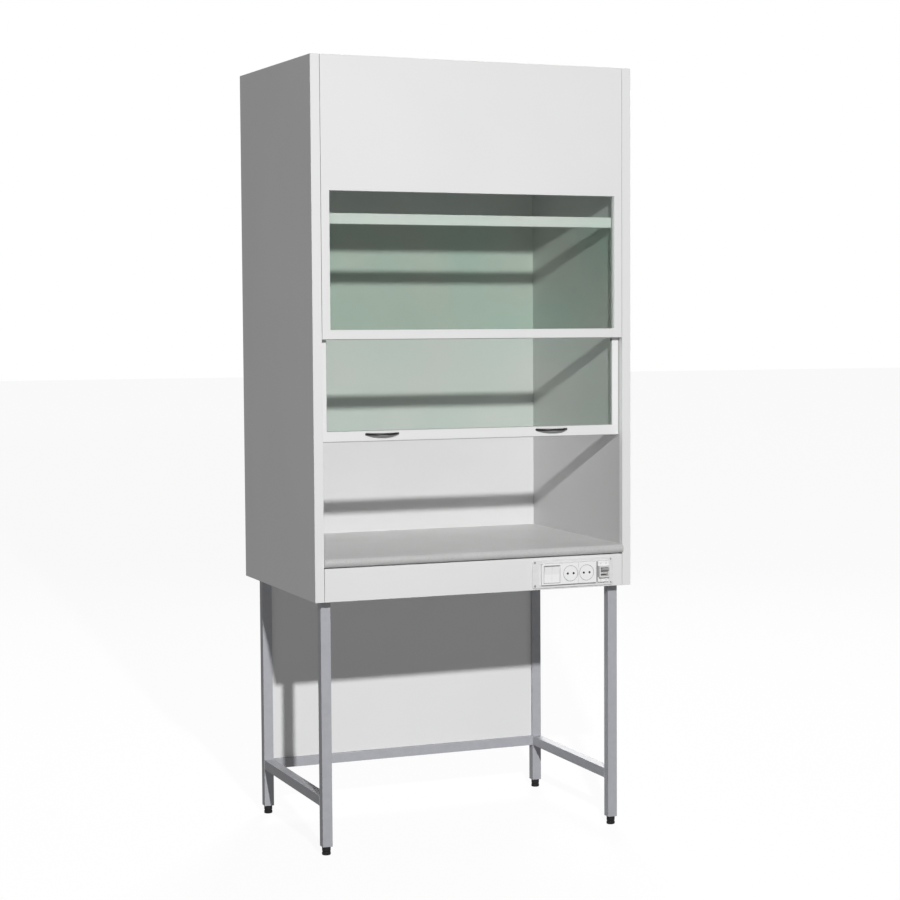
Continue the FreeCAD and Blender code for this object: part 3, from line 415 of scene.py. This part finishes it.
def add_loop(bm, points):
    """A closed run of edges."""
    verts = [bm.verts.new(point) for point in points]
    for first, second in zip(verts, verts[1:] + verts[:1]):
        bm.edges.new((first, second))
    return verts


def add_wall(bm, first, second):
    """Faces between two loops with as many points."""
    count = len(first)
    for step in range(count):
        after = (step + 1) % count
        bm.faces.new((first[step], first[after], second[after], second[step]))


def add_face(bm, *loops):
    """A flat face inside the first loop and outside the others."""
    if len(loops) == 1:
        bm.faces.new(loops[0])
        return
    edges = []
    for loop in loops:
        for first, second in zip(loop, loop[1:] + loop[:1]):
            edges.append(bm.edges.get((first, second)))
    bmesh.ops.triangle_fill(bm, use_beauty=True, edges=edges)


def add_bead(bm, points, radius, around=8):
    """A thin round bead along a closed run of points."""
    rings = []
    count = len(points)
    for index, point in enumerate(points):
        place = facing(point, points[(index + 1) % count] - points[index - 1])
        rings.append([bm.verts.new(place @ spoke(radius, 2 * math.pi * step / around))
                      for step in range(around)])
    for below, above in zip(rings, rings[1:] + rings[:1]):
        add_wall(bm, below, above)


def even_out(piece):
    """Smooth shading that keeps the flats flat."""
    piece.data.shade_smooth()
    piece.data.set_sharp_from_angle(angle=SHARP)
    smooth = piece.modifiers.new("smooth", "WEIGHTED_NORMAL")
    smooth.keep_sharp = True


def soften(piece, width):
    """Joins the flats of a piece into whole faces and rounds its sharp edges."""
    weld = piece.modifiers.new("weld", "WELD")
    weld.merge_threshold = 0.00001
    flats = piece.modifiers.new("flats", "DECIMATE")
    flats.decimate_type = "DISSOLVE"
    flats.angle_limit = math.radians(1)
    bevel = piece.modifiers.new("bevel", "BEVEL")
    bevel.width = width
    bevel.segments = 2
    bevel.limit_method = "ANGLE"
    bevel.angle_limit = SHARP
    bevel.use_clamp_overlap = True
    smooth = piece.modifiers.new("smooth", "WEIGHTED_NORMAL")
    smooth.keep_sharp = True


def finish_piece(bm, name, slot, body, stands_for=(), rounding=0.0):
    """Makes an object of a mesh, gives it its finish and lets it ride on a body."""
    bmesh.ops.recalc_face_normals(bm, faces=bm.faces)
    mesh = bpy.data.meshes.new(name)
    bm.to_mesh(mesh)
    bm.free()
    mesh.materials.append(finish_of[slot])
    piece = bpy.data.objects.new(name, mesh)
    bpy.context.scene.collection.objects.link(piece)
    if rounding:
        mesh.shade_smooth()
        soften(piece, rounding)
    else:
        even_out(piece)
    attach(piece, body)
    if stands_for:
        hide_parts(*stands_for)


# ---------------------------------------------------------------- cabinet boards
JOINT = Vector((1.1 * MM, 0, 0))
CLEARANCE = 0.5 * MM


def build_fascia():
    """The front board with its window, cut a little short of the side panels."""
    low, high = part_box("fascia")
    pane_low, pane_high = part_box("window_glass")
    lip = 7.5 * MM
    step = pane_low[1] - CLEARANCE
    bm = bmesh.new()
    rims = [add_loop(bm, rectangle(low + JOINT, high - JOINT, depth)) for depth in (low[1], high[1])]
    sight = [add_loop(bm, rectangle(pane_low, pane_high, depth, lip)) for depth in (low[1], step)]
    rebate = [add_loop(bm, rectangle(pane_low, pane_high, depth, -CLEARANCE)) for depth in (step, high[1])]
    add_face(bm, rims[0], sight[0])
    add_wall(bm, *sight)
    add_face(bm, rebate[0], sight[1])
    add_wall(bm, *rebate)
    add_face(bm, rims[1], rebate[1])
    add_wall(bm, *rims)
    finish_piece(bm, "fascia_board", slot_of["fascia"], "cabinet", ["fascia"], 1.0 * MM)


def build_apron():
    """The board below the worktop, which the electrical plate is set in."""
    low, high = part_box("apron")
    box_low, box_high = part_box("electric_box")
    bm = bmesh.new()
    rims = [add_loop(bm, rectangle(low + JOINT, high - JOINT, depth)) for depth in (low[1], high[1])]
    hole = [add_loop(bm, rectangle(box_low, box_high, depth, -CLEARANCE)) for depth in (low[1], high[1])]
    add_face(bm, rims[0], hole[0])
    add_face(bm, rims[1], hole[1])
    add_wall(bm, *rims)
    add_wall(bm, *hole)
    finish_piece(bm, "apron_board", slot_of["apron"], "cabinet", ["apron"], 1.0 * MM)


def build_back_screws():
    """The screws that hold the back and the roof, in rows near their edges."""
    end, edge, sunk = 60 * MM, 14 * MM, 0.2 * MM
    radius, tall = 3.4 * MM, 1.2 * MM
    low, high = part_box("back_panel")
    bm = bmesh.new()
    rows = 7
    for step in range(rows):
        z = low[2] + end + (high[2] - low[2] - 2 * end) * step / (rows - 1)
        for x in (low[0] + edge, high[0] - edge):
            add_screw(bm, (x, high[1] - sunk, z), AWAY, radius, tall, 0.7 * step)
    low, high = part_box("roof_panel")
    rows = 4
    for step in range(rows):
        y = low[1] + end + (high[1] - low[1] - 2 * end) * step / (rows - 1)
        for x in (low[0] + edge, high[0] - edge):
            add_screw(bm, (x, y, high[2] - sunk), UP, radius, tall, 0.5 * step)
    finish_piece(bm, "cabinet_screws", "bright_steel", "cabinet")


# ---------------------------------------------------------------- stand
def build_weld_beads():
    """The ground weld beads round the ends of the lower rails."""
    bm = bmesh.new()
    ends = []
    for side in ("left", "right"):
        low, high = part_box(f"rail_lower_{side}")
        ends += [(low, high, 1, depth) for depth in (low[1], high[1])]
    low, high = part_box("rail_lower_rear")
    ends += [(low, high, 0, width) for width in (low[0], high[0])]
    bead = 1.1 * MM
    for low, high, axis, place in ends:
        across = 1 - axis
        middle = (low[axis] + high[axis]) / 2
        inward = bead * 0.6 if place < middle else -bead * 0.6
        corners = []
        for wide, tall in ((low, low), (high, low), (high, high), (low, high)):
            corner = Vector((0, 0, tall[2]))
            corner[axis] = place + inward
            corner[across] = wide[across]
            corners.append(corner)
        points = []
        steps = 16
        for first, second in zip(corners, corners[1:] + corners[:1]):
            for step in range(steps):
                uneven = 0.2 * math.sin(2.1 * step)
                points.append(first.lerp(second, (step + uneven) / steps))
        add_bead(bm, points, bead)
    finish_piece(bm, "weld_beads", "stand_paint", "cabinet")


def build_feet():
    """The black levelling feet, with a ribbed grip round each pad."""
    for row in ("front", "rear"):
        for side in ("left", "right"):
            node = f"foot_{row}_{side}"
            low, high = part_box(node)
            centre = (low + high) / 2
            reach = (high[0] - low[0]) / 2
            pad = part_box("leg_end_caps")[0][2] - 0.4 * MM
            stem = 4.6 * MM
            ribs, rib_depth = 24, 0.018
            bm = bmesh.new()
            profile = [(reach - 1.6 * MM, 0), (reach - 0.3 * MM, 1.2 * MM), (reach, 3 * MM),
                       (reach, 8 * MM), (reach - 1.4 * MM, 9.5 * MM), (reach - 1.4 * MM, 11 * MM),
                       (reach - 0.2 * MM, 12.5 * MM), (reach - 0.2 * MM, pad - 1.5 * MM),
                       (reach - 1.2 * MM, pad), (stem, pad), (stem, high[2])]
            add_turned(bm, facing((centre[0], centre[1], 0), UP), profile, 96,
                       lambda angle: 1 - rib_depth * (1 + math.cos(ribs * angle)))
            finish_piece(bm, f"levelling_pad_{row}_{side}", "black_plastic", body_of[node], [node])


# ---------------------------------------------------------------- sash
def build_handle(side):
    """A slim dark bow with a rounded section, and the pads it is screwed on by."""
    node = f"sash_handle_{side}"
    low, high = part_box(node)
    face = high[1]
    half = (high[0] - low[0]) / 2
    deep = high[1] - low[1]
    outer = (half ** 2 + deep ** 2) / (2 * deep)
    middle = Vector(((low[0] + high[0]) / 2, low[1] + outer, (low[2] + high[2]) / 2))
    thick = 5.4 * MM
    tall = high[2] - low[2]
    around, steps = 16, 40
    bm = bmesh.new()
    rings = []
    for step in range(steps + 1):
        share = 2 * step / steps - 1
        ring = []
        for corner in range(around):
            angle = 2 * math.pi * corner / around
            radius = outer - thick / 2 + thick / 2 * math.cos(angle)
            swing = share * math.acos((middle[1] - face) / radius)
            ring.append(bm.verts.new((middle[0] + radius * math.sin(swing),
                                      middle[1] - radius * math.cos(swing),
                                      middle[2] + tall / 2 * math.sin(angle))))
        rings.append(ring)
    for below, above in zip(rings, rings[1:]):
        add_wall(bm, below, above)
    bm.faces.new(list(reversed(rings[0])))
    bm.faces.new(rings[-1])
    for end in (-1, 1):
        heart = middle[0] + end * (half - 7 * MM)
        add_block(bm, (heart - 6.5 * MM, face - 2 * MM, low[2] + 0.2 * MM),
                  (heart + 6.5 * MM, face - 0.1 * MM, high[2] - 0.2 * MM), 0.8 * MM)
    finish_piece(bm, f"bow_handle_{side}", slot_of[node], "sash", [node])


def build_sash_seals():
    """The thin grey gaskets between the sash pane and its frame."""
    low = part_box("sash_rail_bottom")[1][2]
    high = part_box("sash_rail_top")[0][2]
    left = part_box("sash_stile_left")[1][0]
    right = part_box("sash_stile_right")[0][0]
    pane_low, pane_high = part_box("sash_glass")
    bm = bmesh.new()
    wide, proud = 1.6 * MM, 1.4 * MM
    for near, far in ((pane_low[1] - proud, pane_low[1] - 0.05 * MM),
                      (pane_high[1] + 0.05 * MM, pane_high[1] + proud)):
        add_block(bm, (left, near, low - 0.2 * MM), (right, far, low + wide), 0.4 * MM, 2)
        add_block(bm, (left, near, high - wide), (right, far, high + 0.2 * MM), 0.4 * MM, 2)
        add_block(bm, (left - 0.2 * MM, near, low + wide), (left + wide, far, high - wide), 0.4 * MM, 2)
        add_block(bm, (right - wide, near, low + wide), (right + 0.2 * MM, far, high - wide), 0.4 * MM, 2)
    finish_piece(bm, "sash_seals", "bead", "sash")


def build_edge_strips():
    """The grey strip seals under the fascia and under the sash, dark grey so they also paint the shade
    line under those edges.
    """
    tall = 1.8 * MM
    # Their dark grey is partly painted shade: it stands for the shadow line under the fascia and the sash.
    for name, above, body, inset in (("fascia_seal_and_shade_line", "fascia", "cabinet", 3 * MM),
                                     ("sash_bumper_and_shade_line", "sash_rail_bottom", "sash", 0.6 * MM)):
        low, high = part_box(above)
        bm = bmesh.new()
        add_block(bm, (low[0] + 2 * MM, low[1] + inset, low[2] - tall),
                  (high[0] - 2 * MM, high[1] - inset, low[2] + 0.4 * MM), 0.7 * MM)
        finish_piece(bm, name, "bead", body)


# ---------------------------------------------------------------- electrical panel
def build_plate_screws():
    """The grey slotted screws at the corners of the electrical plate."""
    low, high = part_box("plate_screws")
    radius = 3.1 * MM
    bm = bmesh.new()
    for x, turn in ((low[0] + radius, 0.5), (high[0] - radius, 1.2)):
        for z in (low[2] + radius, high[2] - radius):
            add_screw(bm, (x, high[1] + 0.2 * MM, z), TOWARDS_USER, radius, high[1] - low[1] + 0.2 * MM,
                      turn + 90 * z)
    finish_piece(bm, "panel_screws", slot_of["plate_screws"], "cabinet", ["plate_screws"])


def build_switch_rim():
    """The grey rim round the two rockers, and a grey divider beside the breaker that paints the shade in
    the gap there.
    """
    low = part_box("switch_rocker_left")[0]
    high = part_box("switch_rocker_right")[1]
    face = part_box("switch_frame")[0][1]
    wide, gap = 1.3 * MM, 0.7 * MM
    near, far = face - 0.25 * MM, face + 0.6 * MM
    left, right, bottom, top = low[0] - gap, high[0] + gap, low[2] - gap, high[2] + gap
    bm = bmesh.new()
    add_block(bm, (left - wide, near, bottom - wide), (left, far, top + wide), 0.2 * MM)
    add_block(bm, (right, near, bottom - wide), (right + wide, far, top + wide), 0.2 * MM)
    add_block(bm, (left, near, bottom - wide), (right, far, bottom), 0.2 * MM)
    add_block(bm, (left, near, top), (right, far, top + wide), 0.2 * MM)
    finish_piece(bm, "switch_rim", "bead", "cabinet")
    # Painted shade: a grey block fills the gap between the right socket and the breaker, where there is
    # shade.
    socket_low, socket_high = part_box("socket_right")
    breaker_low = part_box("circuit_breaker")[0]
    plate_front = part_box("electric_plate")[0][1]
    bm = bmesh.new()
    add_block(bm, (socket_high[0] + 0.4 * MM, plate_front - 2 * MM, socket_low[2]),
              (breaker_low[0] - 0.4 * MM, plate_front + 2 * MM, socket_high[2]), 0.6 * MM)
    finish_piece(bm, "gap_shade_divider", "grey_plastic", "cabinet")


def build_socket(side):
    """A flat socket module: a round face in a ring groove, with two deep pin holes, which black liners and
    a grey bead darken as painted shade.
    """
    node = f"socket_{side}"
    low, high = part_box(node)
    low, high = Vector(low), Vector(high)
    low[0] += 0.25 * MM
    high[0] -= 0.25 * MM
    front = low[1]
    pins = [mounts[f"{side}_socket_pin_{letter}"] for letter in "ab"]
    middle = (pins[0] + pins[1]) / 2
    middle[1] = front
    face_radius, groove, hole = 22.6 * MM, 1.5 * MM, 2.75 * MM
    back = Vector(AWAY)
    chamfer, hole_deep = 0.8 * MM, 14 * MM
    bm = bmesh.new()
    edge = add_loop(bm, rectangle(low, high, front, chamfer))
    side_edge = add_loop(bm, rectangle(low, high, front + chamfer))
    rear_edge = add_loop(bm, rectangle(low, high, high[1]))
    outer = add_loop(bm, circle(middle, face_radius + groove))
    outer_deep = add_loop(bm, circle(middle + groove * back, face_radius + groove))
    inner_deep = add_loop(bm, circle(middle + groove * back, face_radius))
    inner = add_loop(bm, circle(middle, face_radius))
    add_face(bm, edge, outer)
    add_wall(bm, edge, side_edge)
    add_wall(bm, side_edge, rear_edge)
    add_face(bm, rear_edge)
    add_wall(bm, outer, outer_deep)
    add_wall(bm, outer_deep, inner_deep)
    add_wall(bm, inner_deep, inner)
    mouths = []
    for pin in pins:
        centre = Vector((pin[0], front, pin[2]))
        mouth = add_loop(bm, circle(centre, hole, 24))
        deep = add_loop(bm, circle(centre + hole_deep * back, hole, 24))
        add_wall(bm, mouth, deep)
        add_face(bm, deep)
        mouths.append(mouth)
    add_face(bm, inner, *mouths)
    finish_piece(bm, f"socket_module_{side}", "white_plastic", "cabinet", [node])
    # Painted shade: black liners darken the pin holes.
    bm = bmesh.new()
    for pin in pins:
        place = facing((pin[0], front + 12 * MM, pin[2]), TOWARDS_USER)
        rim, lip, bore = hole - 0.05 * MM, hole + 0.6 * MM, hole - 0.4 * MM
        under, top, bottom = 12.02 * MM, 12.25 * MM, 4 * MM
        add_turned(bm, place, [(rim, 0), (rim, under), (lip, under), (lip, top), (bore, top),
                               (bore, bottom)], 24)
    finish_piece(bm, f"socket_hole_shade_liners_{side}", "black_plastic", "cabinet")
    # Painted shade: a grey bead in the ring groove makes it a dark line.
    bm = bmesh.new()
    ring = facing(middle + 0.62 * groove * back, TOWARDS_USER)
    mid = face_radius + groove / 2
    around = 64
    points = [ring @ spoke(mid, 2 * math.pi * step / around) for step in range(around)]
    add_bead(bm, points, 0.68 * MM)
    finish_piece(bm, f"socket_groove_shade_ring_{side}", "bead", "cabinet")


def build_breaker():
    """The two-module breaker: white shoulders, a grey nose with a slot, and terminal screws."""
    low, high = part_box("circuit_breaker")
    lever_low, lever_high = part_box("breaker_toggle")
    shoulder = low[1] + 9 * MM
    floor = 24 * MM
    shoulder_tall, slot_half, inset = 13.75 * MM, 12.5 * MM, 0.3 * MM
    nose_low, nose_high = low[2] + shoulder_tall, high[2] - shoulder_tall
    nose_middle = (nose_low + nose_high) / 2
    slot_low, slot_high = nose_middle - slot_half, nose_middle + slot_half
    bm = bmesh.new()
    add_block(bm, (low[0], shoulder, low[2]), (high[0], high[1], nose_low + 1 * MM), 0.9 * MM)
    add_block(bm, (low[0], shoulder, nose_high - 1 * MM), (high[0], high[1], high[2]), 0.9 * MM)
    add_block(bm, (low[0] + 0.1 * MM, low[1] + floor, nose_low), (high[0] - 0.1 * MM, high[1], nose_high),
              0.5 * MM)
    finish_piece(bm, "breaker_case", "white_plastic", "cabinet", ["circuit_breaker"])
    bm = bmesh.new()
    nose_left, nose_right = low[0] + 1.5 * MM, high[0] - 1.5 * MM
    cheek = 0.6 * MM
    rounding = 0.8 * MM
    back = low[1] + floor
    add_block(bm, (nose_left, low[1], nose_low), (lever_low[0] - cheek, back, nose_high), rounding)
    add_block(bm, (lever_high[0] + cheek, low[1], nose_low), (nose_right, back, nose_high), rounding)
    for bottom, top in ((nose_low + inset, slot_low), (slot_high, nose_high - inset)):
        add_block(bm, (nose_left + 0.5 * MM, low[1] + inset, bottom),
                  (nose_right - 0.5 * MM, back - 1 * MM, top), rounding)
    finish_piece(bm, "breaker_nose", "lead_sheath", "cabinet")
    pivot = next(joint for joint in record["behaviour"]["joints"] if joint["name"] == "toggle_throw")
    centre = Vector(pivot["pos_m"])
    centre[0] = lever_low[0] - 0.1 * MM
    wide = lever_high[0] - lever_low[0] + 0.2 * MM
    drum, chamfer = 8.6 * MM, 0.5 * MM
    profile = [(drum - chamfer, 0), (drum, chamfer), (drum, wide - chamfer), (drum - chamfer, wide)]
    bm = bmesh.new()
    add_turned(bm, facing(centre, RIGHT), profile, 48)
    finish_piece(bm, "toggle_drum", "lead_sheath", "toggle")
    bm = bmesh.new()
    for x in ((3 * low[0] + high[0]) / 4, (low[0] + 3 * high[0]) / 4):
        for z in (low[2] + 6.5 * MM, high[2] - 6.5 * MM):
            add_screw(bm, (x, shoulder + 0.3 * MM, z), TOWARDS_USER, 2.6 * MM, 0.8 * MM, 0.8 + 40 * x)
    finish_piece(bm, "terminal_screws", "lead_sheath", "cabinet")


# ---------------------------------------------------------------- roof and back details
def build_spigot_screws():
    """The screws round the flange of the exhaust collar."""
    low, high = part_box("exhaust_spigot")
    centre = (low + high) / 2
    reach = (high[0] - low[0]) / 2 - 12 * MM
    top = low[2] + 4 * MM
    bm = bmesh.new()
    for step in range(8):
        angle = math.pi / 8 + 2 * math.pi * step / 8
        place = (centre[0] + reach * math.cos(angle), centre[1] + reach * math.sin(angle), top - 0.2 * MM)
        add_screw(bm, place, UP, 3.6 * MM, 1.6 * MM, angle)
    finish_piece(bm, "collar_screws", "bright_steel", "cabinet")


build_fascia()
build_apron()
build_back_screws()
build_weld_beads()
build_feet()
for side in ("left", "right"):
    build_handle(side)
    build_socket(side)
build_sash_seals()
build_edge_strips()
build_plate_screws()
build_switch_rim()
build_breaker()
build_spigot_screws()


# ---------------------------------------------------------------- CAD pieces that stay
# The plate is duller than the modules it holds, and the liners are greyer than the back panel, as painted
# shade on the chamber's side walls.
OWN_FINISH = {"electric_plate": "plate", "side_liner_left": "liner", "side_liner_right": "liner"}

for name, piece in nodes.items():
    for index in range(len(piece.material_slots)):
        piece.material_slots[index].material = finish_of[OWN_FINISH.get(name, slot_of[name])]

SOFT_EDGES = {
    1.0: ["side_panel_left", "side_panel_right", "side_liner_left", "side_liner_right", "back_panel",
          "roof_panel", "lower_back_panel", "sash_rail_bottom", "sash_rail_top", "sash_stile_left",
          "sash_stile_right", "window_beads"],
    2.0: ["leg_front_left", "leg_front_right", "leg_rear_left", "leg_rear_right",
          "rail_lower_left", "rail_lower_right", "rail_lower_rear", "top_frame"],
    1.1: ["switch_rocker_left", "switch_rocker_right"],
    0.7: ["leg_end_caps", "electric_plate", "switch_frame", "breaker_toggle", "lamp_housing",
          "lamp_diffuser", "electric_box", "counterweight_left", "counterweight_right"],
}
for edge, names in SOFT_EDGES.items():
    for name in names:
        soften(nodes[name], edge * MM)
